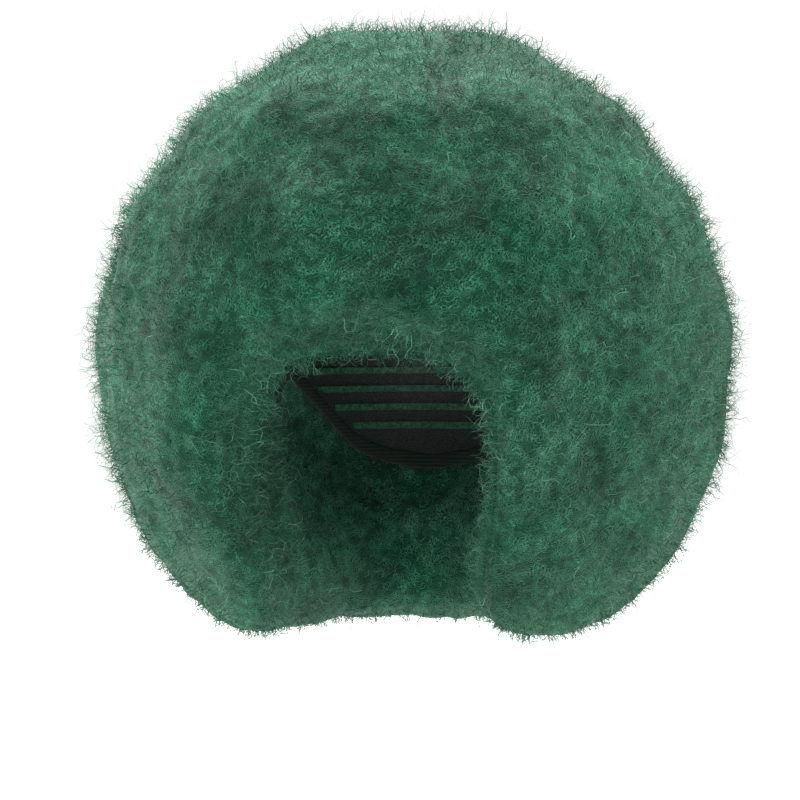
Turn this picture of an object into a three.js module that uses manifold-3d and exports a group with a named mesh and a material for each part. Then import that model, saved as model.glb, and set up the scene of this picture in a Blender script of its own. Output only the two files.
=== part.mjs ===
// An afro wig in its worn form: a stretch cap with an elastic band inside its edge, and a thick ball of
// hair in five zones round the hollow for head, face and neck. Millimetres, +Z up. The face looks along
// -Y, and the origin is the top of the head, where the cap's crown rests.
import * as THREE from 'three';
import { ParametricGeometry } from 'three/addons/geometries/ParametricGeometry.js';
import { mergeVertices } from 'three/addons/utils/BufferGeometryUtils.js';
import Module from 'manifold-3d';

const wasm = await Module();
wasm.setup();

// The head that the cap fits
const HEAD_HALF_WIDTH = 79;
const HEAD_HALF_LENGTH = 98;
const HEAD_RISE = 95; // from the widest level up to the crown
const HEAD_DROP = 95; // from the widest level down to the neck
const NARROWING = { side: 0.19, front: 0.2, back: 0.6 }; // share lost at the foot of the drop

// The cap and the band inside its edge
const CAP_WALL = 1.4;
const BAND_HEIGHT = 10;
const BAND_WALL = 1.2;
const CLEARANCE = 0.3; // between any two pieces
const NAPE_DEPTH = 155; // the cap's lowest edge, below the crown

// The hair's outer form
const HAIR_HEIGHT = 382;
const HAIR_TOP = 128; // above the crown
const HAIR_BOTTOM = HAIR_HEIGHT - HAIR_TOP; // below the crown
const HAIR_HALF_WIDTH = 199;
const HAIR_FRONT = 166; // ahead of the head's axis
const HAIR_BACK = 214; // behind the head's axis
const HAIR_MIDDLE = 24; // the widest section lies this far behind the head's axis

// Locks fused to that form
const LOCK_SPACING = 76;
const LOCK_RISE = 7;
const LOCK_ROOT = 20;
const LOCK_PLUMPNESS = 0.56; // half width as a share of the spacing
const LOCK_VARIETY = 0.12; // how much plumper or slimmer a lock may be
const FRINGE_LOCKS = 9;
const FRINGE_LOCK_HALF_WIDTH = 10;
const FRINGE_LOCK_ROOT = 20;
const FRINGE_LOCK_DROP = 12;
const FRINGE_SLANT = 0.22; // share of the drop gained from the middle to the right end
const FRINGE_VARIETY = 0.22; // how much longer or shorter a curl may be
const FRINGE_LEAD = 12; // ahead of the forehead
const FRINGE_LEAN = 0.3; // ahead, for each millimetre down
const FRINGE_ARCH = 11; // how much lower the fringe's ends are than its middle

// The opening for the face and the neck
const FACE_TOP = 76; // the fringe's lower edge, below the crown
const FACE_DROP = 214; // from there down through the hair's underside
const FACE_HALF_WIDTH = 68;
const BROW_LIFT = 40; // how far the hair's front rounds up over the forehead
const NECK_HALF_WIDTH = 48;
const NECK_HALF_LENGTH = 59;
const NECK_TOP = 150; // where the neck's column starts, inside the head's hollow
const NECK_BOTTOM = 290; // clear of the hair's underside

// Where the zones of hair meet
const CROWN_LINE = 48; // below the crown
const EAR_LINE = 30; // behind the head's axis
const FRINGE_HALF_WIDTH = 60;
const FRINGE_FOOT = 0.18; // share of the face's drop, where its opening is at full width

// The cap's lower edge by direction, in degrees from the front, as shares of the nape's depth
const CAP_EDGE = [
  { turn: 0, down: 0.32 },
  { turn: 30, down: 0.33 },
  { turn: 50, down: 0.4 },
  { turn: 64, down: 0.62 },
  { turn: 76, down: 0.73 },
  { turn: 94, down: 0.6 },
  { turn: 115, down: 0.7 },
  { turn: 145, down: 0.93 },
  { turn: 180, down: 1 },
];

// The ball of hair from its underside to its top. up is a share of its height, the others of its reaches.
const HAIR_SECTIONS = [
  { turn: 0, up: 0, wide: 0, front: 0, back: 0 },
  { turn: 18, up: 0, wide: 0.36, front: 0.34, back: 0.36 },
  { turn: 32, up: 0.022, wide: 0.6, front: 0.56, back: 0.57 },
  { turn: 45, up: 0.08, wide: 0.745, front: 0.71, back: 0.71 },
  { turn: 60, up: 0.178, wide: 0.875, front: 0.85, back: 0.85 },
  { turn: 76, up: 0.29, wide: 0.958, front: 0.945, back: 0.945 },
  { turn: 92, up: 0.414, wide: 1, front: 0.99, back: 0.995 },
  { turn: 106, up: 0.544, wide: 0.993, front: 1, back: 1 },
  { turn: 121, up: 0.668, wide: 0.925, front: 0.945, back: 0.935 },
  { turn: 135, up: 0.772, wide: 0.815, front: 0.835, back: 0.825 },
  { turn: 149, up: 0.87, wide: 0.655, front: 0.67, back: 0.66 },
  { turn: 161, up: 0.943, wide: 0.46, front: 0.465, back: 0.46 },
  { turn: 171, up: 0.985, wide: 0.24, front: 0.24, back: 0.24 },
  { turn: 180, up: 1, wide: 0, front: 0, back: 0 },
];

// The face opening's half outline, from its arch down to the shoulders
const FACE_OUTLINE = [
  { down: 0, wide: 0 },
  { down: 0.008, wide: 0.4 },
  { down: 0.04, wide: 0.74 },
  { down: 0.1, wide: 0.94 },
  { down: 0.18, wide: 1 },
  { down: 0.48, wide: 1 },
  { down: 0.62, wide: 0.86 },
  { down: 0.74, wide: 0.9 },
  { down: 0.81, wide: 1.05 },
  { down: 0.87, wide: 1.4 },
  { down: 1, wide: 2 },
];

// The same opening from behind the neck out to the front of the hair, where it flares like a trumpet
const FACE_STATIONS = [
  { ahead: 1.12, wide: 2.05, lift: 1.35 },
  { ahead: 1, wide: 1.62, lift: 0.88 },
  { ahead: 0.89, wide: 1.32, lift: 0.46 },
  { ahead: 0.77, wide: 1.14, lift: 0.18 },
  { ahead: 0.6, wide: 1.05, lift: 0.02 },
  { ahead: 0.36, wide: 1, lift: 0 },
  { ahead: 0.1, wide: 0.93, lift: 0 },
  { ahead: -0.15, wide: 0.7, lift: 0 },
];

// The neck's column, from inside the head's hollow down over the shoulders
const NECK_SECTIONS = [
  { down: 0, wide: 1 },
  { down: 0.4, wide: 1 },
  { down: 0.62, wide: 1.06 },
  { down: 0.74, wide: 1.26 },
  { down: 0.82, wide: 1.6 },
  { down: 1, wide: 2.3 },
];

// A lock from its root to its tip, as shares of its half width, root and rise
const LOCK_PROFILE = [
  { wide: 0, out: -1 },
  { wide: 1, out: -0.45 },
  { wide: 0.62, out: 0.62 },
  { wide: 0, out: 1 },
];

// How finely the forms are faceted
const COLUMNS = 36;
const HAIR_ROWS = 18;
const HAIR_COLUMNS = 30;
const NECK_COLUMNS = 20;
const CAP_ROWS = 9;
const BELOW_ROWS = 4; // of the head's form, under the cap's edge
const LOCK_SIDES = 6;
const QUARTER = Math.PI / 2;
const HALF_TURN = 180; // in degrees
const GOLDEN_TURN = Math.PI * (3 - Math.sqrt(5));
const SMALL_TURN = 0.01; // radians between two points that give a surface's direction
const SMALL_LEVEL = 1; // degrees for the same
const EVEN = 0.3; // diagonals that differ by less count as equal

// The value of a table's column at a key, on a smooth curve through its rows
function follow(table, key, column, at) {
  const last = table.length - 1;
  let row = 0;
  while (row < last - 1 && at > table[row + 1][key]) row += 1;
  const slope = (index) => {
    const before = table[Math.max(index - 1, 0)];
    const after = table[Math.min(index + 1, last)];
    return (after[column] - before[column]) / (after[key] - before[key]);
  };
  const span = table[row + 1][key] - table[row][key];
  const t = THREE.MathUtils.clamp((at - table[row][key]) / span, 0, 1);
  const start = (1 + 2 * t) * (1 - t) ** 2 * table[row][column];
  const end = (3 - 2 * t) * t ** 2 * table[row + 1][column];
  const bend = t * (1 - t) * span * ((1 - t) * slope(row) - t * slope(row + 1));
  return start + end + bend;
}

// A closed geometry as a solid that can be joined and cut
function solid(geometry) {
  const bare = geometry.index ? geometry.clone() : mergeVertices(geometry);
  bare.deleteAttribute('normal');
  bare.deleteAttribute('uv');
  const merged = mergeVertices(bare);
  const corners = merged.index.array;
  const faces = [];
  for (let i = 0; i < corners.length; i += 3) {
    const face = [corners[i], corners[i + 1], corners[i + 2]];
    if (new Set(face).size === 3) faces.push(...face);
  }
  const vertProperties = new Float32Array(merged.attributes.position.array);
  const triVerts = new Uint32Array(faces);
  return new wasm.Manifold(new wasm.Mesh({ numProp: 3, vertProperties, triVerts }));
}

// A solid from a function of the way round, 0 to 1, and a row number. Each facet is split along its
// shorter diagonal, so that two surfaces with a small gap between them are split alike.
function lofted(rows, columns, place) {
  const surface = (u, v, target) => target.copy(place(u, Math.round(v * rows)));
  const geometry = new ParametricGeometry(surface, columns, rows);
  const { index, attributes } = geometry;
  const at = (corner) => new THREE.Vector3().fromBufferAttribute(attributes.position, corner);
  for (let i = 0; i < index.count; i += 6) {
    const [a, b, d, , c] = index.array.slice(i, i + 5);
    const shorter = at(a).distanceTo(at(c)) < at(b).distanceTo(at(d)) - EVEN;
    if (shorter) index.array.set([a, b, c, a, c, d], i);
  }
  return solid(geometry);
}

function block(low, high) {
  const geometry = new THREE.BoxGeometry(high[0] - low[0], high[1] - low[1], high[2] - low[2]);
  geometry.translate((low[0] + high[0]) / 2, (low[1] + high[1]) / 2, (low[2] + high[2]) / 2);
  return solid(geometry);
}

// A point of the head's form. angle is 0 at the crown and a quarter turn at the widest level.
function headPoint(turn, angle, grown) {
  const below = Math.max(0, angle - QUARTER) * HEAD_RISE;
  const lost = (below / HEAD_DROP) ** 2;
  const girth = angle < QUARTER ? Math.sin(angle) : 1;
  const rise = angle < QUARTER ? (HEAD_RISE + grown) * Math.cos(angle) : 0;
  const along = Math.cos(turn) > 0 ? NARROWING.front : NARROWING.back;
  return new THREE.Vector3(
    (HEAD_HALF_WIDTH + grown) * girth * (1 - NARROWING.side * lost) * Math.sin(turn),
    -(HEAD_HALF_LENGTH + grown) * girth * (1 - along * lost) * Math.cos(turn),
    rise - HEAD_RISE - below,
  );
}

// The angle of the head's form at a depth below the crown
function headAngle(depth) {
  const above = 1 - depth / HEAD_RISE;
  return above > 0 ? Math.acos(above) : QUARTER - above;
}

// The rows of the head's form in one direction, from the crown to the cap's edge and on down to the neck.
// The band's upper edge lies on a row, so cap, band and hair have parallel facets.
function headRows(turn) {
  const degrees = THREE.MathUtils.radToDeg(Math.acos(Math.cos(turn)));
  const edge = headAngle(NAPE_DEPTH * follow(CAP_EDGE, 'turn', 'down', degrees));
  const bandTop = edge - BAND_HEIGHT / HEAD_RISE;
  const foot = QUARTER + HEAD_DROP / HEAD_RISE;
  const rows = [];
  for (let i = 0; i < CAP_ROWS; i += 1) rows.push((bandTop * i) / (CAP_ROWS - 1));
  rows.push(edge);
  for (let i = 1; i <= BELOW_ROWS; i += 1) rows.push(edge + ((foot - edge) * i) / BELOW_ROWS);
  return rows;
}

// The cap: down its inner face from the crown, round the edge and up its outer face
function capSolid() {
  return lofted(2 * CAP_ROWS + 1, COLUMNS, (u, row) => {
    const turn = 2 * Math.PI * u;
    const inner = row <= CAP_ROWS;
    const angle = headRows(turn)[inner ? row : 2 * CAP_ROWS + 1 - row];
    return headPoint(turn, angle, inner ? 0 : CAP_WALL);
  });
}

// The elastic band, a closed strip just inside the cap's edge
function bandSolid() {
  const outside = -CLEARANCE;
  const inside = outside - BAND_WALL;
  const corners = [
    { row: CAP_ROWS, grown: outside },
    { row: CAP_ROWS - 1, grown: outside },
    { row: CAP_ROWS - 1, grown: inside },
    { row: CAP_ROWS, grown: inside },
  ];
  return lofted(corners.length, COLUMNS, (u, index) => {
    const corner = corners[index % corners.length];
    return headPoint(2 * Math.PI * u, headRows(2 * Math.PI * u)[corner.row], corner.grown);
  });
}

// The hollow that head and cap fill, with the clearance round them
function headHollow() {
  const rows = CAP_ROWS + BELOW_ROWS + 1;
  return lofted(rows, COLUMNS, (u, row) => {
    if (row === 0) return new THREE.Vector3(0, 0, -HEAD_RISE - HEAD_DROP);
    const turn = 2 * Math.PI * u;
    return headPoint(turn, headRows(turn)[rows - row], CAP_WALL + CLEARANCE);
  });
}

// A point on the ball of hair. level runs in degrees from its underside, 0, to its top, 180.
function hairPoint(turn, level) {
  const reach = (column) => follow(HAIR_SECTIONS, 'turn', column, level);
  const ahead = (HAIR_FRONT + HAIR_MIDDLE) * reach('front');
  const behind = (HAIR_BACK - HAIR_MIDDLE) * reach('back');
  return new THREE.Vector3(
    HAIR_HALF_WIDTH * reach('wide') * Math.sin(turn),
    HAIR_MIDDLE - (Math.cos(turn) > 0 ? ahead : behind) * Math.cos(turn),
    (HAIR_TOP + HAIR_BOTTOM) * reach('up') - HAIR_BOTTOM,
  );
}

// A point on the wall of the face opening. side is -1 to 1 round the outline, and 0 is the arch's top.
function facePoint(side, station) {
  const { ahead, wide, lift } = station;
  const last = FACE_OUTLINE.length - 1;
  const place = Math.abs(side) * last;
  const row = Math.min(Math.floor(place), last - 1);
  const blend = (column) =>
    THREE.MathUtils.lerp(FACE_OUTLINE[row][column], FACE_OUTLINE[row + 1][column], place - row);
  const down = blend('down');
  return new THREE.Vector3(
    Math.sign(side) * FACE_HALF_WIDTH * wide * blend('wide'),
    -HAIR_FRONT * ahead,
    BROW_LIFT * lift * (1 - down) - FACE_TOP - FACE_DROP * down,
  );
}

function faceHollow() {
  const rows = FACE_STATIONS.length + 1;
  const sides = 2 * (FACE_OUTLINE.length - 1);
  return lofted(rows, sides + 1, (u, row) => {
    const station = FACE_STATIONS[THREE.MathUtils.clamp(row - 1, 0, rows - 2)];
    if (row === 0 || row === rows) {
      const middle = -FACE_TOP - FACE_DROP / 2;
      return new THREE.Vector3(0, -HAIR_FRONT * station.ahead, middle);
    }
    const corner = Math.round(u * (sides + 1)) % (sides + 1);
    return facePoint((2 * corner) / sides - 1, station);
  });
}

function neckHollow() {
  const rows = NECK_SECTIONS.length + 1;
  return lofted(rows, NECK_COLUMNS, (u, row) => {
    const section = NECK_SECTIONS[THREE.MathUtils.clamp(rows - 1 - row, 0, rows - 2)];
    const wide = row === 0 || row === rows ? 0 : section.wide;
    return new THREE.Vector3(
      NECK_HALF_WIDTH * wide * Math.sin(2 * Math.PI * u),
      -NECK_HALF_LENGTH * wide * Math.cos(2 * Math.PI * u),
      -NECK_TOP - (NECK_BOTTOM - NECK_TOP) * section.down,
    );
  });
}

// One lock, rooted below a point of the surface and rising out of it
function lock(point, outward, halfWidth, root, rise) {
  const profile = LOCK_PROFILE.map(({ wide, out }) => {
    return new THREE.Vector2(halfWidth * wide, out * (out < 0 ? root : rise));
  });
  const geometry = new THREE.LatheGeometry(profile, LOCK_SIDES);
  const turned = new THREE.Quaternion().setFromUnitVectors(new THREE.Vector3(0, 1, 0), outward);
  geometry.applyQuaternion(turned);
  geometry.translate(point.x, point.y, point.z);
  return solid(geometry);
}

// Staggered rows of locks all over the ball
function ballLocks() {
  const locks = [];
  const rows = Math.round((Math.PI * HAIR_HALF_WIDTH) / LOCK_SPACING);
  for (let row = 0; row < rows; row += 1) {
    const level = (HALF_TURN * (row + 0.5)) / rows;
    const radius = HAIR_HALF_WIDTH * follow(HAIR_SECTIONS, 'turn', 'wide', level);
    const count = Math.round((2 * Math.PI * radius) / LOCK_SPACING);
    for (let i = 0; i < count; i += 1) {
      const turn = (2 * Math.PI * i) / count + GOLDEN_TURN * row;
      const point = hairPoint(turn, level);
      const around = hairPoint(turn + SMALL_TURN, level).sub(point);
      const upward = hairPoint(turn, level + SMALL_LEVEL).sub(point);
      const outward = around.cross(upward).normalize();
      const plump = 1 + LOCK_VARIETY * Math.sin(GOLDEN_TURN * locks.length);
      const halfWidth = LOCK_SPACING * LOCK_PLUMPNESS * plump;
      locks.push(lock(point, outward, halfWidth, LOCK_ROOT, LOCK_RISE * plump));
    }
  }
  return locks;
}

// Curls that hang from the fringe's edge, longer to the wearer's right
function fringeLocks() {
  const locks = [];
  for (let i = 0; i < FRINGE_LOCKS; i += 1) {
    const side = (2 * i + 1) / FRINGE_LOCKS - 1;
    const arch = FACE_TOP + FRINGE_ARCH * side ** 2;
    const point = new THREE.Vector3(
      side * FRINGE_HALF_WIDTH,
      -HEAD_HALF_LENGTH - FRINGE_LEAD,
      FRINGE_LOCK_HALF_WIDTH / 2 - arch,
    );
    const chance = FRINGE_VARIETY * Math.sin(GOLDEN_TURN * i);
    const drop = FRINGE_LOCK_DROP * (1 - FRINGE_SLANT * side + chance);
    const down = new THREE.Vector3(-side / 2, -FRINGE_LEAN, -1).normalize();
    locks.push(lock(point, down, FRINGE_LOCK_HALF_WIDTH, FRINGE_LOCK_ROOT, drop));
  }
  return locks;
}

function hairSolid() {
  let hair = lofted(HAIR_ROWS, HAIR_COLUMNS, (u, row) => {
    return hairPoint(2 * Math.PI * u, (HALF_TURN * row) / HAIR_ROWS);
  });
  for (const one of ballLocks()) hair = hair.add(one);
  hair = hair.subtract(faceHollow()).subtract(neckHollow());
  for (const one of fringeLocks()) hair = hair.add(one);
  return hair.subtract(headHollow());
}

// The zones of the hair, cut apart by planes with the clearance between them
function hairZones() {
  const hair = hairSolid();
  const half = CLEARANCE / 2;
  const far = 2 * (HAIR_HALF_WIDTH + HAIR_BACK);
  const crown = block([-far, -far, half - CROWN_LINE], [far, far, far]);
  const top = -CROWN_LINE - half;
  const behind = block([-far, EAR_LINE + half, -far], [far, far, top]);
  const left = block([-far, -far, -far], [-half, EAR_LINE - half, top]);
  const right = block([half, -far, -far], [far, EAR_LINE - half, top]);
  const fringeRoom = (spare, ceiling) => {
    const foot = FACE_TOP + FRINGE_FOOT * FACE_DROP + spare;
    const side = FRINGE_HALF_WIDTH + spare;
    return block([-side, -far, -foot], [side, 0, ceiling]);
  };
  return {
    crown_hair: hair.intersect(crown),
    fringe: hair.intersect(fringeRoom(-half, top)),
    left_side_hair: hair.intersect(left).subtract(fringeRoom(half, far)),
    right_side_hair: hair.intersect(right).subtract(fringeRoom(half, far)),
    back_hair: hair.intersect(behind),
  };
}

// Dark green modacrylic curls, and a darker net and tape
const hairFinish = { color: 0x2f5a46, roughness: 0.85, metalness: 0 };
const netFinish = { color: 0x17231e, roughness: 0.9, metalness: 0 };
const tapeFinish = { color: 0x22332b, roughness: 0.8, metalness: 0 };

function named(name, shape, finish) {
  const { vertProperties, triVerts } = shape.getMesh();
  const geometry = new THREE.BufferGeometry();
  geometry.setAttribute('position', new THREE.BufferAttribute(vertProperties, 3));
  geometry.setIndex(new THREE.BufferAttribute(triVerts, 1));
  geometry.computeVertexNormals();
  const mesh = new THREE.Mesh(geometry, new THREE.MeshStandardMaterial(finish));
  mesh.name = name;
  return mesh;
}

const wig = new THREE.Group();
wig.add(named('cap', capSolid(), netFinish));
wig.add(named('edge_band', bandSolid(), tapeFinish));
for (const [name, shape] of Object.entries(hairZones())) wig.add(named(name, shape, hairFinish));

export default wig;
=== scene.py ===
# The finish of a dark green afro wig in its worn form: a matted mass of hair in five zones, with kinked
# curls, short hairs and flyaways over it, a net cap with sewn rows of hair and a soft elastic band.
# Metres, +Z up, face to -Y.
import math

import bmesh
import bpy
import numpy as np
from bpy.props import FloatProperty, FloatVectorProperty, IntProperty, PointerProperty
from mathutils import Matrix, Vector, noise
from mathutils.bvhtree import BVHTree


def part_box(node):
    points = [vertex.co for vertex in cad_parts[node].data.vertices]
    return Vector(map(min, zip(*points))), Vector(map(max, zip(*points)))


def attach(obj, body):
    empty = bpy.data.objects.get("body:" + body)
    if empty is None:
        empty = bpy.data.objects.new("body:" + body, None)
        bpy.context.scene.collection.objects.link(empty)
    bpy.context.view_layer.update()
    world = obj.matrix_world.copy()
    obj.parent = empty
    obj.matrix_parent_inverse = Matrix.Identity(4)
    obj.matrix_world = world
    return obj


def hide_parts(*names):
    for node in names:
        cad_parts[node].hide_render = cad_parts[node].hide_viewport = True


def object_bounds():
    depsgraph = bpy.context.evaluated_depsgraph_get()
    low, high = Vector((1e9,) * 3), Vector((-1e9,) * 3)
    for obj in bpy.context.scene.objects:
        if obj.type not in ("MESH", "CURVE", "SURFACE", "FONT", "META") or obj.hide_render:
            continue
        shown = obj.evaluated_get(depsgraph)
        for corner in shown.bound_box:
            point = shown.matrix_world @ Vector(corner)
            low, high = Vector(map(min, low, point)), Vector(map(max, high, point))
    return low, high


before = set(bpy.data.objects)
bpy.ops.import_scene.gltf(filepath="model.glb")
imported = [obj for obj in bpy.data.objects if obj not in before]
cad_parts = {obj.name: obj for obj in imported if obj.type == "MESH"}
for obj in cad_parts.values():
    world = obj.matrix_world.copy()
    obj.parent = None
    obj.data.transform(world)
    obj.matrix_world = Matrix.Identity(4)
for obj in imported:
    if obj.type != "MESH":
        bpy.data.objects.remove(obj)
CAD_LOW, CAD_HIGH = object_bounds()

bl_info = {
    "name": "Afro Wig",
    "version": (1, 0, 0),
    "blender": (4, 5, 0),
    "location": "3D View > Sidebar > Wig",
    "description": "Builds the hair, cap and band of an afro wig round its frame",
    "category": "Mesh",
}

MM = 0.001
HAIR_NODES = ("crown_hair", "fringe", "left_side_hair", "right_side_hair", "back_hair")


def to_linear(hex_colour):
    """The linear colour of an sRGB hex value"""
    values = [int(hex_colour[i : i + 2], 16) / 255 for i in (1, 3, 5)]
    return tuple(v / 12.92 if v <= 0.04045 else ((v + 0.055) / 1.055) ** 2.4 for v in values)


def colour(name, description, hex_colour):
    return FloatVectorProperty(
        name=name, description=description, default=to_linear(hex_colour), subtype="COLOR", size=3, min=0, max=1
    )


def millimetres(name, description, default):
    return FloatProperty(name=name, description=description, default=default * MM, unit="LENGTH", min=0)


class HairSettings(bpy.types.PropertyGroup):
    """Sizes and colours of the hair"""

    voxel: millimetres("Mass detail", "Size of the facets of the mass before they are halved", 10)
    sink: millimetres("Mass depth", "How far the matted mass lies under the locks' tips", 4.5)
    filling: millimetres("Filling", "Grooves between the locks are filled where they are narrower than twice this", 14)
    relief: millimetres("Clump relief", "Height of the soft clumps on the mass", 1.8)
    clump: millimetres("Clump size", "Distance between clumps", 30)
    tuft_relief: millimetres("Tuft relief", "Height of the small tufts on the mass", 1.7)
    tuft: millimetres("Tuft size", "Distance between small tufts", 10)
    curls: IntProperty(name="Curls", description="Curls over the whole wig", default=5000, min=100)
    curl_length: millimetres("Curl length", "Length of the part of a curl that winds over the mass", 18)
    curl_width: millimetres("Curl width", "Width of the bundle of hairs in one curl", 0.5)
    flyaways: IntProperty(name="Flyaways", description="Loose hairs in the halo", default=13200, min=100)
    flyaway_length: millimetres("Flyaway length", "Length of the part of a loose hair that winds through the halo", 14)
    flyaway_width: millimetres("Flyaway width", "Width of a loose hair, with those that cling to it", 0.27)
    shorts: IntProperty(name="Short hairs", description="Short hairs close over the mass", default=14000, min=100)
    short_length: millimetres("Short hair length", "Length of the part of a short hair that winds over the mass", 7)
    short_width: millimetres("Short hair width", "Width of a short hair, with those that cling to it", 0.36)
    loop_radius: millimetres("Loop radius", "Mean radius of the loops that a hair winds in", 3.2)
    halo: millimetres("Halo", "How far the flyaways stand out", 18)
    drawn_spacing: millimetres("Drawn hair spacing", "Distance between the hairs drawn on the mass", 1.7)
    drawn_bend: millimetres("Drawn hair bend", "Distance between the bends of a drawn hair", 6)
    drawn_tuft: millimetres("Drawn tuft", "Size of the tufts that the drawn hairs end in", 8.333)
    # These patches also carry painted shade and light of the clumps
    patch: millimetres("Tone patch", "Size of the patches in which the green drifts", 52.63)
    smoothing: IntProperty(name="Smoothing", description="Passes that round off the swollen mass", default=220, min=0)
    seed: IntProperty(name="Seed", description="Picks another chance layout of the curls", default=7)
    # Painted shade: hair deep between the others is darkened to this colour as if in shade; the darkest strands also
    # reach it at random
    shade_and_dark_strand_colour: colour("Shade colour", "Hair that lies deep", "#07261b")
    curl_colour: colour("Curl colour", "Most of the hair", "#1b4f3a")
    # Painted highlight: the hairs on top of the mass and the curls that stand out are lightened to this colour as if
    # lit; the lightest strands also reach it at random
    highlight_and_light_strand_colour: colour("Highlight colour", "Curls that catch the light", "#3b755b")
    # Painted backlight: loose hairs in the halo are paled to this colour as if light from behind shone through them; it
    # also tints the sheen
    backlit_halo_and_sheen_colour: colour("Backlit halo colour", "Loose hairs in the halo", "#86b89e")


class CapSettings(bpy.types.PropertyGroup):
    """Sizes and colours of the cap and its band"""

    mesh_size: millimetres("Net mesh", "Width of one opening of the net", 1.6)
    weft_spacing: millimetres("Weft spacing", "Distance between sewn rows of hair", 12)
    weft_width: millimetres("Weft width", "Width of a sewn row", 4)
    weft_rise: millimetres("Weft rise", "How far a sewn row stands out", 1.1)
    weft_hair: millimetres("Weft hair", "Size of the bundles of hair in a sewn row", 2)
    rib: millimetres("Elastic rib", "Distance between the ribs of the elastic", 1.2)
    nap: millimetres("Elastic nap", "Size of the brushed tufts on the elastic", 1.111)
    net_colour: colour("Net colour", "Stretch net", "#2a332f")
    weft_colour: colour("Weft colour", "Sewn rows", "#2a5f47")
    tape_colour: colour("Elastic colour", "Elastic band", "#1a2a22")


class StageSettings(bpy.types.PropertyGroup):
    """The plain studio"""

    floor_drop: FloatProperty(name="Floor depth", description="Floor under the wig", default=0.12, unit="LENGTH")
    floor_radius: FloatProperty(name="Floor radius", description="Reach of the floor", default=30, unit="LENGTH")
    floor_colour: colour("Floor colour", "Matt white floor", "#f8f8f8")
    air: FloatProperty(name="Air", description="Strength of the light from all round", default=1.08, min=0)
    azimuth: FloatProperty(name="Azimuth", description="Camera's turn", default=math.radians(12), subtype="ANGLE")
    height: FloatProperty(name="Elevation", description="Camera's height", default=math.radians(2), subtype="ANGLE")
    distance: FloatProperty(name="Distance", description="Camera to wig", default=1.85, unit="LENGTH")
    lens: FloatProperty(name="Lens", description="Focal length", default=131.5, unit="CAMERA")


# Materials


def add_node(tree, kind, links=(), stops=(), **settings):
    """Adds a node with its settings. Each link is (input, source node, output), and each stop of a colour ramp is
    (place, colour)."""
    node = tree.nodes.new(kind)
    for key, value in settings.items():
        if key.startswith("in_"):
            name = key[3:]
            socket = node.inputs[int(name)] if name.isdigit() else node.inputs[name.replace("_", " ")]
            socket.default_value = value
        else:
            setattr(node, key, value)
    for name, source, output in links:
        tree.links.new(source.outputs[output], node.inputs[name])
    elements = node.color_ramp.elements if stops else ()
    while len(elements) < len(stops):
        elements.new(0.5)
    for element, (place, rgb) in zip(elements, stops):
        element.position = place
        element.color = (*rgb, 1)
    return node


def new_material(name):
    material = bpy.data.materials.new(name)
    material.use_nodes = True
    tree = material.node_tree
    tree.nodes.clear()
    return material, tree


def shaded(colour, factor):
    return tuple(factor * value for value in colour)


def tinted(tree, hair, place, source):
    """Lets a colour drift over the wig: patches of a stronger or greyer green, and darker or lighter patches that are
    partly random and partly painted shade and light of the clumps
    """
    patches = add_node(
        tree,
        "ShaderNodeTexNoise",
        [("Vector", place, "Object")],
        in_Scale=1 / hair.patch,
        in_Detail=2,
        in_Distortion=0.8,
    )
    channels = add_node(tree, "ShaderNodeSeparateColor", [("Color", patches, "Color")])
    # The second channel makes patches darker or lighter, partly at random and partly as painted shade and light of the
    # clumps
    strong, deep = (
        add_node(
            tree,
            "ShaderNodeMapRange",
            [("Value", channels, channel)],
            in_From_Min=0.36,
            in_From_Max=0.64,
            in_To_Min=least,
            in_To_Max=most,
        )
        for channel, least, most in ((0, 0.94, 1.08), (1, 0.68, 1.28))
    )
    return add_node(
        tree,
        "ShaderNodeHueSaturation",
        [("Color", source, 0), ("Saturation", strong, 0), ("Value", deep, 0)],
    )


def hair_finish(tree, hair, sheen, tint, links=()):
    """Crimped modacrylic: matt, with a soft pale sheen where the light grazes it"""
    shader = add_node(
        tree,
        "ShaderNodeBsdfPrincipled",
        [("Base Color", tint, 0), *links],
        in_Roughness=0.7,
        in_IOR=1.45,
        in_Sheen_Weight=sheen,
        in_Sheen_Roughness=0.3,
        in_Sheen_Tint=(*hair.backlit_halo_and_sheen_colour, 1),
        in_Specular_IOR_Level=0.15,
    )
    add_node(tree, "ShaderNodeOutputMaterial", [("Surface", shader, 0)])


def curl_material(hair):
    """Crimped modacrylic fibre, heat set in bundles: each is darker or lighter at random, and painted light pales it
    the higher it stands over the mass, most of all on the sides and the top
    """
    material, tree = new_material("crimped_modacrylic_hair")
    tone_and_light = add_node(tree, "ShaderNodeAttribute", attribute_name="tone_and_light")
    place = add_node(tree, "ShaderNodeTexCoord")
    # Painted light and shade: each strand runs from the dark colour to the pale backlit colour by a value that is
    # partly random and partly painted light
    shades = add_node(
        tree,
        "ShaderNodeValToRGB",
        [(0, tone_and_light, "Fac")],
        [(0, hair.shade_and_dark_strand_colour), (0.4, hair.curl_colour), (0.75, hair.highlight_and_light_strand_colour), (1, hair.backlit_halo_and_sheen_colour)],
    )
    hair_finish(tree, hair, 0.25, tinted(tree, hair, place, shades))
    return material


def drawn_hairs(tree, place, hair, size, turn):
    """Thin wavy lines that run one way over the mass"""
    turned = add_node(tree, "ShaderNodeMapping", [("Vector", place, "Object")], in_Rotation=turn)
    # A wave texture has 20 radians to one unit of its scaled coordinates
    scale = 2 * math.pi / (20 * hair.drawn_spacing * size)
    lines = add_node(
        tree,
        "ShaderNodeTexWave",
        [("Vector", turned, 0)],
        in_Scale=scale,
        in_Distortion=16,
        in_Detail=2,
        in_Detail_Scale=1 / (hair.drawn_bend * size * scale),
        in_Detail_Roughness=0.65,
    )
    return add_node(tree, "ShaderNodeMapRange", [("Value", lines, "Fac")], in_From_Min=0.6, in_From_Max=1)


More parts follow.
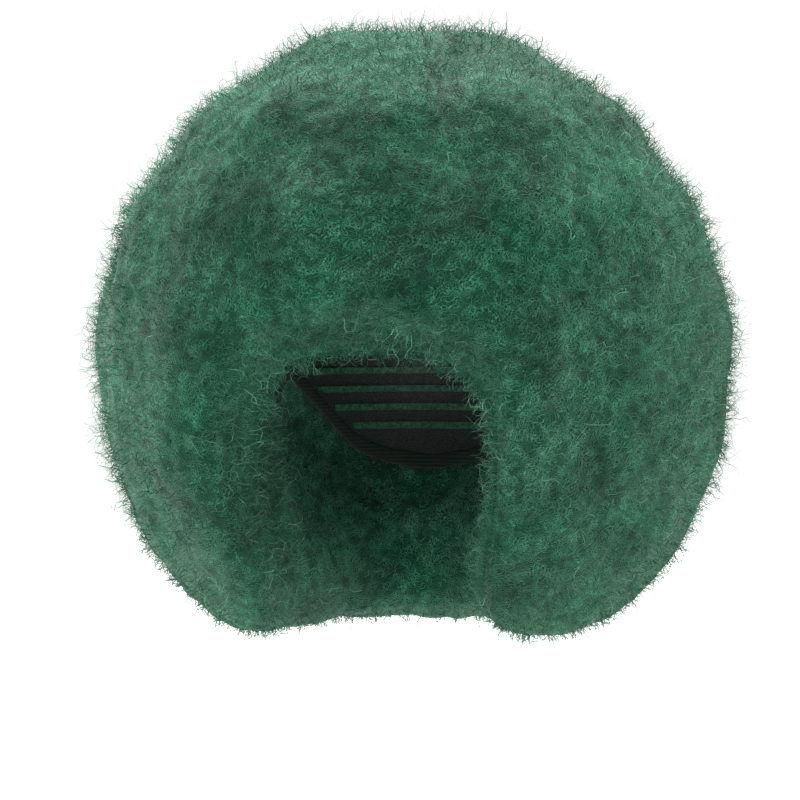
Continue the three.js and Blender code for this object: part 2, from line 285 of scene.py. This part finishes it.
def mass_material(hair):
    """The same fibre packed deep, as layers of fine wavy hairs that cross each other and end in tufts, with painted
    shade in the spaces between them and painted light on the hairs on top. The real ones are about 0.1 mm thick and are
    drawn as bundles of 0.5 mm, because single ones are too fine to show."""
    material, tree = new_material("matted_modacrylic_hair")
    place = add_node(tree, "ShaderNodeTexCoord")
    tufts = add_node(
        tree, "ShaderNodeTexNoise", [("Vector", place, "Object")], in_Scale=1 / hair.drawn_tuft, in_Detail=1
    )
    channels = add_node(tree, "ShaderNodeSeparateColor", [("Color", tufts, "Color")])
    height = None
    for channel, size, turn in (
        (0, 1.0, (0.3, 0.5, 0.2)),
        (1, 0.85, (0.4, 1.3, 0.5)),
        (2, 1.2, (0.2, 2.1, 0.9)),
        (0, 0.95, (0.5, 2.8, 0.3)),
    ):
        lines = drawn_hairs(tree, place, hair, size, turn)
        shown = add_node(
            tree,
            "ShaderNodeMapRange",
            [("Value", channels, channel)],
            in_From_Min=0.4,
            in_From_Max=0.6,
            in_To_Min=0.4,
        )
        layer = add_node(tree, "ShaderNodeMath", [(0, lines, 0), (1, shown, 0)], operation="MULTIPLY")
        if height is None:
            height = layer
        else:
            height = add_node(tree, "ShaderNodeMath", [(0, height, 0), (1, layer, 0)], operation="MAXIMUM")
    # Painted shade and highlight: darkest in the deep spaces between the drawn hairs and lightest on the hairs on top
    shades = add_node(
        tree,
        "ShaderNodeValToRGB",
        [(0, height, 0)],
        [(0.08, hair.shade_and_dark_strand_colour), (0.62, hair.curl_colour), (1, hair.highlight_and_light_strand_colour)],
    )
    bump = add_node(tree, "ShaderNodeBump", [("Height", height, 0)], in_Distance=hair.drawn_spacing, in_Strength=0.7)
    hair_finish(tree, hair, 0.4, tinted(tree, hair, place, shades), [("Normal", bump, 0)])
    return material


def net_material(cap):
    """Knitted nylon net: fine crossed threads, with painted shade darkening the openings between them"""
    material, tree = new_material("knitted_nylon_net")
    place = add_node(tree, "ShaderNodeTexCoord")
    cells = add_node(
        tree,
        "ShaderNodeTexVoronoi",
        [("Vector", place, "Object")],
        feature="DISTANCE_TO_EDGE",
        in_Scale=1 / cap.mesh_size,
    )
    # Painted shade: the middle of each opening is darkened to a quarter of the net's colour
    threads = add_node(
        tree,
        "ShaderNodeValToRGB",
        [(0, cells, "Distance")],
        [(0.05, cap.net_colour), (0.22, shaded(cap.net_colour, 0.25))],
    )
    bump = add_node(
        tree, "ShaderNodeBump", [("Height", cells, "Distance")], invert=True, in_Distance=0.5 * MM, in_Strength=0.6
    )
    shader = add_node(
        tree,
        "ShaderNodeBsdfPrincipled",
        [("Base Color", threads, 0), ("Normal", bump, 0)],
        in_Roughness=0.7,
        in_IOR=1.53,
    )
    add_node(tree, "ShaderNodeOutputMaterial", [("Surface", shader, 0)])
    return material


def weft_material(cap):
    """Machine sewn weft: hair folded into a flat row and stitched along its length"""
    material, tree = new_material("machine_sewn_weft")
    place = add_node(tree, "ShaderNodeTexCoord")
    hairs = add_node(
        tree, "ShaderNodeTexNoise", [("Vector", place, "Object")], in_Scale=1 / cap.weft_hair, in_Detail=3
    )
    # Partly random and partly painted shade and highlight: the raised bundles are lighter and the hollows between them
    # darker
    shades = add_node(
        tree,
        "ShaderNodeValToRGB",
        [(0, hairs, "Fac")],
        [(0.3, shaded(cap.weft_colour, 0.35)), (0.7, shaded(cap.weft_colour, 1.5))],
    )
    bump = add_node(tree, "ShaderNodeBump", [("Height", hairs, "Fac")], in_Distance=0.5 * MM, in_Strength=0.7)
    shader = add_node(
        tree,
        "ShaderNodeBsdfPrincipled",
        [("Base Color", shades, 0), ("Normal", bump, 0)],
        in_Roughness=0.65,
        in_IOR=1.5,
    )
    add_node(tree, "ShaderNodeOutputMaterial", [("Surface", shader, 0)])
    return material


def tape_material(cap):
    """Woven elastic: ribs along the band with a soft brushed face"""
    material, tree = new_material("woven_elastic")
    place = add_node(tree, "ShaderNodeTexCoord")
    ribs = add_node(
        tree,
        "ShaderNodeTexWave",
        [("Vector", place, "Object")],
        bands_direction="Z",
        in_Scale=1 / (cap.rib * 2 * math.pi),
        in_Distortion=0.4,
    )
    nap = add_node(tree, "ShaderNodeTexNoise", [("Vector", place, "Object")], in_Scale=1 / cap.nap)
    rib_and_nap_height = add_node(tree, "ShaderNodeMath", [(0, ribs, "Fac"), (1, nap, "Fac")], operation="MULTIPLY")
    # Painted shade and highlight: darker in the grooves between the ribs and tufts, lighter on their tops
    shades = add_node(
        tree,
        "ShaderNodeValToRGB",
        [(0, rib_and_nap_height, 0)],
        [(0.1, shaded(cap.tape_colour, 0.5)), (0.6, shaded(cap.tape_colour, 1.4))],
    )
    bump = add_node(tree, "ShaderNodeBump", [("Height", rib_and_nap_height, 0)], in_Distance=0.3 * MM, in_Strength=0.7)
    shader = add_node(
        tree,
        "ShaderNodeBsdfPrincipled",
        [("Base Color", shades, 0), ("Normal", bump, 0)],
        in_Roughness=0.85,
        in_IOR=1.5,
    )
    add_node(tree, "ShaderNodeOutputMaterial", [("Surface", shader, 0)])
    return material


# Meshes


def add_object(name, mesh, material):
    mesh.materials.clear()
    mesh.materials.append(material)
    piece = bpy.data.objects.new(name, mesh)
    bpy.context.scene.collection.objects.link(piece)
    return piece


def place_piece(piece, slot, *nodes):
    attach(piece, "root")
    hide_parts(*nodes)


def merged_copy(node):
    """A node's mesh with its loose triangles joined"""
    bm = bmesh.new()
    bm.from_mesh(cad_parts[node].data)
    bmesh.ops.remove_doubles(bm, verts=bm.verts, dist=0.01 * MM)
    bm.normal_update()
    return bm


def applied(piece):
    """The piece's mesh with its modifiers applied"""
    depsgraph = bpy.context.evaluated_depsgraph_get()
    mesh = bpy.data.meshes.new_from_object(piece.evaluated_get(depsgraph))
    bpy.data.objects.remove(piece)
    return mesh


class Head:
    """The cap's faces, and how far a point lies outside them, seen from the head's middle"""

    def __init__(self):
        low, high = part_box("cap")
        widest = 95 * MM  # from the cap's top down to the head's widest level
        self.middle = Vector(((low.x + high.x) / 2, 0, high.z - widest))
        bm = merged_copy("cap")
        self.tree = BVHTree.FromBMesh(bm)
        bm.free()

    def outside(self, point):
        """Distance past the cap's outer face, or None where the cap doesn't reach"""
        ray = point - self.middle
        reach = ray.length
        ray.normalize()
        beyond_hair = 300 * MM
        far = self.middle + ray * beyond_hair
        hit = self.tree.ray_cast(far, -ray)[0]
        return None if hit is None else reach - (hit - self.middle).length


def remeshed(mesh, swell, voxel):
    """The mesh swollen by a distance and made of even facets, in one closed skin"""
    bm = bmesh.new()
    bm.from_mesh(mesh)
    bm.normal_update()
    for vert in bm.verts:
        vert.co += vert.normal * swell
    bm.to_mesh(mesh)
    bm.free()
    piece = bpy.data.objects.new("voxels", mesh)
    bpy.context.scene.collection.objects.link(piece)
    remesh = piece.modifiers.new("voxels", "REMESH")
    remesh.mode = "VOXEL"
    remesh.voxel_size = voxel
    return applied(piece)


def hair_mass(hair):
    """One closed mesh under the curls of all five zones. Swelling closes the grooves between the locks, and the
    skin goes back by the same distance once it is smooth."""
    whole = bmesh.new()
    for node in HAIR_NODES:
        bm = merged_copy(node)
        mesh = bpy.data.meshes.new(node)
        bm.to_mesh(mesh)
        bm.free()
        whole.from_mesh(mesh)
        bpy.data.meshes.remove(mesh)
    mesh = bpy.data.meshes.new("hair_mass")
    whole.to_mesh(mesh)
    whole.free()
    overlap = 0.5 * MM  # closes the gaps between the zones
    gap = 1.2 * MM  # between the mass and the cap
    fade = 12 * MM  # the mass reaches its full depth this far from the cap
    mesh = remeshed(remeshed(mesh, overlap, hair.voxel), hair.filling, hair.voxel)
    bm = bmesh.new()
    bm.from_mesh(mesh)
    # Each pass smooths the skin and then swells it back, so that it keeps its size
    for factor in (0.5, -0.51) * hair.smoothing:
        bmesh.ops.smooth_vert(bm, verts=bm.verts, factor=factor, use_axis_x=True, use_axis_y=True, use_axis_z=True)
    bmesh.ops.subdivide_edges(bm, edges=bm.edges, cuts=1, use_grid_fill=True, smooth=1)
    bm.normal_update()
    head = Head()
    for vert in bm.verts:
        back = vert.co - vert.normal * (hair.filling + overlap)
        free = min(max((head.tree.find_nearest(back)[3] - gap) / fade, 0), 1)
        lump = hair.relief * noise.noise(back / hair.clump) + hair.tuft_relief * noise.noise(back / hair.tuft)
        back -= vert.normal * free * (hair.sink - lump)
        beyond = head.outside(back)
        if beyond is not None and beyond < gap:
            back += (back - head.middle).normalized() * (gap - beyond)
        vert.co = back
    bmesh.ops.triangulate(bm, faces=bm.faces)
    bm.normal_update()
    for face in bm.faces:
        face.smooth = True
    bm.to_mesh(mesh)
    bm.free()
    return mesh, head


def zone_planes():
    """The cuts between the zones, half way through the frame's gaps"""
    crown = (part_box("crown_hair")[0].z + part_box("back_hair")[1].z) / 2
    ear = (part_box("back_hair")[0].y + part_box("left_side_hair")[1].y) / 2
    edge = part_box("fringe")[1].x
    below_fringe = 20 * MM
    return crown, ear, edge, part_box("fringe")[0].z - below_fringe


def zone_of(points):
    """The zone's number for each point, in the order of HAIR_NODES"""
    crown, ear, edge, depth = zone_planes()
    x, y, z = points.T
    zone = np.where(x < 0, 2, 3)
    zone = np.where((np.abs(x) < edge) & (y < 0) & (z > depth), 1, zone)
    zone = np.where(y > ear, 4, zone)
    return np.where(z > crown, 0, zone)


def cutter(low, high):
    mesh = bpy.data.meshes.new("cutter")
    bm = bmesh.new()
    bmesh.ops.create_cube(bm, size=1)
    size = Vector(high) - Vector(low)
    bmesh.ops.transform(
        bm, matrix=Matrix.Translation((Vector(low) + Vector(high)) / 2) @ Matrix.Diagonal((*size, 1)), verts=bm.verts
    )
    bm.to_mesh(mesh)
    bm.free()
    piece = bpy.data.objects.new("cutter", mesh)
    bpy.context.scene.collection.objects.link(piece)
    return piece


def cut(mesh, low, high, operation):
    """The mesh inside a box, or outside it"""
    piece = bpy.data.objects.new("cut", mesh)
    bpy.context.scene.collection.objects.link(piece)
    tool = cutter(low, high)
    modifier = piece.modifiers.new("cut", "BOOLEAN")
    modifier.operation = operation
    modifier.solver = "MANIFOLD"
    modifier.object = tool
    made = applied(piece)
    bpy.data.objects.remove(tool)
    return made


def mass_zones(mass):
    """The matted mass cut apart where the frame's zones meet"""
    crown, ear, edge, depth = zone_planes()
    far = 1
    fringe_low, fringe_high = (-edge, -far, depth), (edge, 0, crown)
    zones = {
        "crown_hair": cut(mass, (-far, -far, crown), (far, far, far), "INTERSECT"),
        "fringe": cut(mass, fringe_low, fringe_high, "INTERSECT"),
        "back_hair": cut(mass, (-far, ear, -far), (far, far, crown), "INTERSECT"),
    }
    for node, low, high in (("left_side_hair", -far, 0), ("right_side_hair", 0, far)):
        side = cut(mass, (low, -far, -far), (high, ear, crown), "INTERSECT")
        zones[node] = cut(side, fringe_low, (edge, 0, far), "DIFFERENCE")
    for mesh in zones.values():
        mesh.set_sharp_from_angle(angle=math.radians(50))
    return zones


def unit(vectors):
    return vectors / np.maximum(np.linalg.norm(vectors, axis=-1, keepdims=True), 1e-12)


def sample_roots(mass, head, count, rng, share):
    """Root points and outward directions spread over the mass by the share that each triangle gets, which is
    worked out from its middle, its direction and whether it faces out. None lie where the cap is against it."""
    mass.calc_loop_triangles()
    corners = np.zeros(len(mass.vertices) * 3)
    mass.vertices.foreach_get("co", corners)
    corners = corners.reshape(-1, 3)
    normals = np.zeros(len(mass.vertices) * 3, np.float32)
    mass.vertices.foreach_get("normal", normals)
    normals = normals.reshape(-1, 3).astype(float)
    tris = np.zeros(len(mass.loop_triangles) * 3, np.int32)
    mass.loop_triangles.foreach_get("vertices", tris)
    tris = tris.reshape(-1, 3)
    a, b, c = (corners[tris[:, i]] for i in range(3))
    middle = (a + b + c) / 3
    area = np.linalg.norm(np.cross(b - a, c - a), axis=1) / 2
    facing = unit(normals[tris].mean(1))
    outward = ((middle - np.array(head.middle)) * facing).sum(1) > 0
    weight = share(middle, facing, outward)
    covered = 9 * MM
    for i in np.flatnonzero(~outward):
        beyond = head.outside(Vector(middle[i]))
        if beyond is not None and beyond < covered:
            weight[i] = 0
    total = np.cumsum(area * weight)
    picks = (np.arange(count) + rng.random(count)) / count * total[-1]
    chosen = np.minimum(np.searchsorted(total, picks), len(tris) - 1)
    u, v = rng.random((2, count))
    flip = u + v > 1
    u[flip], v[flip] = 1 - u[flip], 1 - v[flip]
    mix = np.stack([1 - u - v, u, v], 1)[:, :, None]
    return (corners[tris[chosen]] * mix).sum(1), unit((normals[tris[chosen]] * mix).sum(1))


def frames_face(middle, facing):
    """True on the edges and walls that look at the middle of the face opening from its front part"""
    face_level, face_depth, reach = -110 * MM, -35 * MM, 125 * MM
    inward = np.zeros_like(middle)
    inward[:, 0] = -middle[:, 0]
    inward[:, 2] = face_level - middle[:, 2]
    near = (middle[:, 1] < face_depth) & (np.linalg.norm(inward, axis=1) < reach)
    return near & ((unit(inward) * facing).sum(1) > 0.12)


def curl_share(middle, facing, outward):
    """The front of the hair, which fills most views, has a few more curls than its back"""
    share = (1 - 0.22 * facing[:, 1]) * np.where(outward, 1, 0.5)
    return np.where(frames_face(middle, facing), 2, share)


def flyaway_share(middle, facing, outward):
    """Most of the halo stands on the sides, the top and the bottom, and some of it frames the face"""
    share = (0.5 + 0.5 * (1 - facing[:, 1] ** 2)) * np.where(outward, 1, 0.1)
    return np.where(frames_face(middle, facing), 2, share)


def hair_paths(roots, normals, heights, length, rng, hair, steps):
    """Kinked hairs. Each leaves the surface at a slant with a straight stem, bends over at a height of its own
    and winds on in open loops. Returns their points and how high these lie over the surface."""
    buried, shortest_stem, margin = 1.5 * MM, 2 * MM, 10.5 * MM
    count = len(roots)
    stride = length * rng.uniform(0.6, 1.4, count) / (steps - 2)
    bend = stride / (hair.loop_radius * rng.uniform(0.5, 1.6, count))
    cosine, sine, stride = np.cos(bend)[:, None], np.sin(bend)[:, None], stride[:, None]
    axis = unit(rng.normal(size=(count, 3)) + normals * rng.choice([-1.3, 1.3], count)[:, None])
    slant = np.radians(rng.uniform(15, 80, count))[:, None]
    tangent = unit(np.cross(normals, rng.normal(size=(count, 3))))
    heading = np.cos(slant) * normals + np.sin(slant) * tangent
    place = roots - buried * normals
    points = [place]
    place = place + heading * (shortest_stem + 0.2 * heights)[:, None]
    points.append(place)
    for _ in range(steps - 2):
        place = place + stride * heading
        points.append(place)
        short = heights - ((place - roots) * normals).sum(1)
        # A hair turns back to its height the harder the farther it is from it, up to 5 mm
        pull = 0.5 * (short / (5 * MM)).clip(-1, 1)[:, None]
        along = (axis * heading).sum(1, keepdims=True) * axis
        turned = along + (heading - along) * cosine + np.cross(axis, heading) * sine
        heading = unit(turned + pull * normals + rng.normal(scale=0.24, size=(count, 3)))
    points = np.stack(points, 1)
    height = ((points - roots[:, None]) * normals[:, None]).sum(-1)
    over = (height - hair.halo).clip(0)
    points -= over[..., None] * normals[:, None]
    # No hair passes the frame's box by more than the margin
    return points.clip(np.array(CAD_LOW) - margin, np.array(CAD_HIGH) + margin), height - over


def strand_kinds(hair):
    """For each kind of strand its name, count and share, its lowest, mean and greatest height over the mass in
    millimetres, its length and width, the points along it, and how many pieces its largest zones make"""
    low_curls, low_shorts, halo = (0.5, 2.4, 8), (0.5, 2.5, 7), (1.5, 6, 17)
    halves = {"crown_hair": 2, "back_hair": 2}
    return (
        ("curls", hair.curls, curl_share, low_curls, hair.curl_length, hair.curl_width, 7, {}),
        ("short_hairs", hair.shorts, flyaway_share, low_shorts, hair.short_length, hair.short_width, 5, {}),
        ("flyaways", hair.flyaways, flyaway_share, halo, hair.flyaway_length, hair.flyaway_width, 8, halves),
    )


def strand_mesh(name, points, width, tone_and_light):
    """Closed three-sided strands as one mesh. The UV map has one small cell per strand, across and along it,
    for baking their colours."""
    count, steps, _ = points.shape
    rings = steps - 2
    tangent = unit(points[:, 2:] - points[:, :-2])
    across = unit(np.cross(tangent[:, 0], tangent[:, 0][:, [1, 2, 0]] + 0.1))
    # A strand is thickest near its root, where its neighbours cling to it
    taper = np.interp(np.linspace(0, 1, steps), (0, 0.2, 0.5, 1), (0.8, 1.25, 0.85, 0.4))
    verts = np.empty((count, 3 * rings + 2, 3))
    verts[:, 0], verts[:, -1] = points[:, 0], points[:, -1]
    for ring in range(rings):
        # Each ring's frame is the last one's, turned by no more than the bend
        across = unit(across - (across * tangent[:, ring]).sum(1, keepdims=True) * tangent[:, ring])
        other = np.cross(tangent[:, ring], across)
        half = width[:, None] * taper[ring + 1] / 2
        for j in range(3):
            turn = 2 * math.pi * j / 3
            verts[:, 1 + 3 * ring + j] = points[:, ring + 1] + half * (math.cos(turn) * across + math.sin(turn) * other)
    faces, uvs = [], []
    for j in range(3):
        k, u0, u1 = (j + 1) % 3, j / 3, (j + 1) / 3
        row = [step / (steps - 1) for step in range(steps)]
        faces.append([0, 1 + k, 1 + j])
        uvs.append([((u0 + u1) / 2, 0), (u1, row[1]), (u0, row[1])])
        for ring in range(rings - 1):
            low, high = 1 + 3 * ring, 4 + 3 * ring
            faces.append([low + j, low + k, high + k, high + j])
            uvs.append([(u0, row[ring + 1]), (u1, row[ring + 1]), (u1, row[ring + 2]), (u0, row[ring + 2])])
        last = 1 + 3 * (rings - 1)
        faces.append([last + j, last + k, 3 * rings + 1])
        uvs.append([(u0, row[-2]), (u1, row[-2]), ((u0 + u1) / 2, 1)])
    flat = np.array([i for face in faces for i in face])
    begin = np.cumsum([0] + [len(face) for face in faces[:-1]])
    number = np.arange(count)[:, None]
    cells = math.ceil(math.sqrt(count))
    corner = np.stack([number % cells, number // cells], -1)
    places = (0.15 + 0.7 * np.array([uv for face in uvs for uv in face])[None] + corner) / cells
    mesh = bpy.data.meshes.new(name)
    mesh.vertices.add(verts.shape[0] * verts.shape[1])
    mesh.vertices.foreach_set("co", verts.reshape(-1))
    mesh.loops.add(count * len(flat))
    mesh.loops.foreach_set("vertex_index", (flat + verts.shape[1] * number).reshape(-1).astype(np.int32))
    mesh.polygons.add(count * len(begin))
    mesh.polygons.foreach_set("loop_start", (begin + len(flat) * number).reshape(-1).astype(np.int32))
    mesh.update(calc_edges=True)
    mesh.shade_smooth()
    point_tone_and_light = np.concatenate([tone_and_light[:, :1], np.repeat(tone_and_light[:, 1:-1], 3, axis=1), tone_and_light[:, -1:]], axis=1)
    mesh.attributes.new("tone_and_light", "FLOAT", "POINT").data.foreach_set("value", point_tone_and_light.reshape(-1).astype(np.float32))
    mesh.uv_layers.new(name="OFBake").data.foreach_set("uv", places.reshape(-1).astype(np.float32))
    return mesh


def weft_rows(cap, net, middle):
    """Flat strips on the inner face of the net, one for each sewn row, level with each other"""
    bm = bmesh.new()
    bm.from_mesh(net)
    bm.normal_update()
    band = merged_copy("edge_band")
    near_band = BVHTree.FromBMesh(band)
    band.free()
    spare = [f for f in bm.faces if f.normal.dot((f.calc_center_median() - middle).normalized()) > -0.6]
    bmesh.ops.delete(bm, geom=spare, context="FACES")
    bmesh.ops.subdivide_edges(bm, edges=bm.edges, cuts=1, use_grid_fill=True)
    heights = [v.co.z for v in bm.verts]
    below_top, off_band = 30 * MM, 3 * MM
    level = max(heights) - below_top
    rows = []
    while level > min(heights) + 2 * cap.weft_spacing:
        rows.append(level)
        for z in (level - cap.weft_width / 2, level + cap.weft_width / 2):
            every = bm.verts[:] + bm.edges[:] + bm.faces[:]
            bmesh.ops.bisect_plane(bm, geom=every, dist=0.01 * MM, plane_co=(0, 0, z), plane_no=(0, 0, 1))
        level -= cap.weft_spacing
    spare = []
    for face in bm.faces:
        place = face.calc_center_median()
        off_row = min(abs(place.z - row) for row in rows) > cap.weft_width / 2
        if off_row or near_band.find_nearest(place)[3] < off_band:
            spare.append(face)
    bmesh.ops.delete(bm, geom=spare, context="FACES")
    bm.normal_update()
    sunk = 0.4 * MM
    for vert in bm.verts:
        vert.co -= vert.normal * sunk
    bmesh.ops.solidify(bm, geom=bm.faces[:], thickness=-(sunk + cap.weft_rise))
    bmesh.ops.recalc_face_normals(bm, faces=bm.faces)
    mesh = bpy.data.meshes.new("sewn_wefts")
    bm.to_mesh(mesh)
    bm.free()
    mesh.set_sharp_from_angle(angle=math.radians(40))
    return mesh


# Operators


def settings():
    return bpy.context.scene.wig


class WIG_OT_stage(bpy.types.Operator):
    """Make the pale floor, the soft lights and the camera"""

    bl_idname = "wig.stage"
    bl_label = "Stage"

    def execute(self, context):
        stage = settings().stage
        low, high = CAD_LOW, CAD_HIGH
        middle = (low + high) / 2
        floor = low.z - stage.floor_drop
        bm = bmesh.new()
        bmesh.ops.create_circle(bm, cap_ends=True, radius=stage.floor_radius, segments=96)
        bmesh.ops.translate(bm, vec=(0, 0, floor), verts=bm.verts)
        mesh = bpy.data.meshes.new("studio_floor")
        bm.to_mesh(mesh)
        bm.free()
        material, tree = new_material("matt_painted_floor")
        shader = add_node(tree, "ShaderNodeBsdfPrincipled", in_Base_Color=(*stage.floor_colour, 1), in_Roughness=0.9)
        add_node(tree, "ShaderNodeOutputMaterial", [("Surface", shader, 0)])
        add_object("studio_floor", mesh, material)

        def area_light(name, place, size, power):
            data = bpy.data.lights.new(name, "AREA")
            data.shape = "DISK"
            data.size = size
            data.energy = power
            light = bpy.data.objects.new(name, data)
            light.location = middle + Vector(place)
            light.rotation_mode = "QUATERNION"
            light.rotation_quaternion = Vector(place).to_track_quat("Z", "Y")
            bpy.context.scene.collection.objects.link(light)

        area_light("key", (-0.9, -1.6, 1.6), 1.4, 8)
        area_light("top", (0.0, 0.8, 1.75), 1.5, 92)
        area_light("left_rim", (-1.7, 0.9, 0.3), 1.2, 36)
        area_light("right_rim", (1.7, 0.9, 0.3), 1.2, 5)
        world = bpy.data.worlds.new("studio_air")
        world.use_nodes = True
        world.node_tree.nodes["Background"].inputs["Color"].default_value = (1, 1, 1, 1)
        world.node_tree.nodes["Background"].inputs["Strength"].default_value = stage.air
        context.scene.world = world
        context.scene.view_settings.view_transform = "Standard"

        data = bpy.data.cameras.new("camera")
        data.lens = stage.lens
        data.sensor_width = 36
        camera = bpy.data.objects.new("camera", data)
        turn, rise = stage.azimuth, stage.height
        back = Vector((math.sin(turn) * math.cos(rise), -math.cos(turn) * math.cos(rise), math.sin(rise)))
        # The wig's middle stands 13 pixels right of the picture's centre and 67 above it
        right_px, up_px = 13, 67
        scale = stage.lens / 36 * 800 / stage.distance
        right = Vector((math.cos(turn), math.sin(turn), 0))
        upward = back.cross(right)
        aim = Vector((0, 24 * MM, -65 * MM)) - right * right_px / scale - upward * up_px / scale
        camera.location = aim + back * stage.distance
        camera.rotation_mode = "QUATERNION"
        camera.rotation_quaternion = back.to_track_quat("Z", "Y")
        context.scene.collection.objects.link(camera)
        context.scene.camera = camera
        return {"FINISHED"}


class WIG_OT_hair(bpy.types.Operator):
    """Make the matted mass of each zone, with its curls, short hairs and flyaways"""

    bl_idname = "wig.hair"
    bl_label = "Hair"

    def execute(self, context):
        hair = settings().hair
        rng = np.random.default_rng(hair.seed)
        mass, head = hair_mass(hair)
        mass_finish = mass_material(hair)
        curl_finish = curl_material(hair)
        zones = mass_zones(mass)
        for node in HAIR_NODES:
            place_piece(add_object(node + "_mass", zones[node], mass_finish), "hair", node)
        for kind, count, share, (low, mean, high), length, width, steps, parts in strand_kinds(hair):
            roots, normals = sample_roots(mass, head, count, rng, share)
            heights = (low + rng.exponential(mean, count)).clip(0, high) * MM
            points, height = hair_paths(roots, normals, heights, length, rng, hair, steps)
            widths = width * rng.uniform(0.65, 1.2, count)
            chance = rng.normal(0, 0.15, count)[:, None]
            side = 1 - normals[:, 1:2] ** 2
            # Painted light: paler the higher it stands, and most of all on the sides and the top, as if light from
            # behind shone through the halo. The chance part is a random difference between strands.
            tone_and_light = (0.4 + 0.06 * side + height * (1 + side) / (46 * MM) + chance).clip(0, 0.75 + 0.15 * side)
            zone = zone_of(roots)
            turn = np.arctan2(roots[:, 0], -roots[:, 1])
            for number, node in enumerate(HAIR_NODES):
                mine = np.flatnonzero(zone == number)
                around = np.mod(turn[mine], 2 * np.pi) if node == "back_hair" else turn[mine]
                pieces = parts.get(node, 1)
                for part, some in enumerate(np.array_split(mine[np.argsort(around, kind="stable")], pieces)):
                    name = f"{node}_{kind}_{part + 1}" if pieces > 1 else f"{node}_{kind}"
                    mesh = strand_mesh(name, points[some], widths[some], tone_and_light[some])
                    place_piece(add_object(name, mesh, curl_finish), "hair", node)
        return {"FINISHED"}


class WIG_OT_cap(bpy.types.Operator):
    """Make the net cap, the sewn rows on its inner face and the elastic band"""

    bl_idname = "wig.cap"
    bl_label = "Cap and band"

    def execute(self, context):
        cap = settings().cap
        for node, name, slot, levels, material in (
            ("cap", "net_cap", "net", 1, net_material(cap)),
            ("edge_band", "elastic_band", "tape", 2, tape_material(cap)),
        ):
            bm = merged_copy(node)
            mesh = bpy.data.meshes.new(name)
            bm.to_mesh(mesh)
            bm.free()
            piece = add_object(name, mesh, material)
            smooth = piece.modifiers.new("smooth", "SUBSURF")
            smooth.levels = smooth.render_levels = levels
            mesh = applied(piece)
            mesh.shade_smooth()
            place_piece(add_object(name, mesh, material), slot, node)
            if node == "cap":
                rows = add_object("sewn_wefts", weft_rows(cap, mesh, Head().middle), weft_material(cap))
                place_piece(rows, "net", node)
        return {"FINISHED"}


class WigSettings(bpy.types.PropertyGroup):
    """All settings of the wig"""

    hair: PointerProperty(type=HairSettings)
    cap: PointerProperty(type=CapSettings)
    stage: PointerProperty(type=StageSettings)


class WIG_PT_panel(bpy.types.Panel):
    bl_idname = "WIG_PT_panel"
    bl_label = "Afro wig"
    bl_space_type = "VIEW_3D"
    bl_region_type = "UI"
    bl_category = "Wig"

    def draw(self, context):
        for group, operator in (("hair", "wig.hair"), ("cap", "wig.cap"), ("stage", "wig.stage")):
            box = self.layout.box()
            values = getattr(context.scene.wig, group)
            for name in values.__annotations__:
                box.prop(values, name)
            box.operator(operator)


CLASSES = (
    HairSettings,
    CapSettings,
    StageSettings,
    WigSettings,
    WIG_OT_stage,
    WIG_OT_hair,
    WIG_OT_cap,
    WIG_PT_panel,
)


def register():
    for one in CLASSES:
        bpy.utils.register_class(one)
    bpy.types.Scene.wig = PointerProperty(type=WigSettings)


def unregister():
    del bpy.types.Scene.wig
    for one in reversed(CLASSES):
        bpy.utils.unregister_class(one)


def main():
    register()
    bpy.ops.wig.stage()
    bpy.ops.wig.hair()
    bpy.ops.wig.cap()


if __name__ == "__main__":
    main()
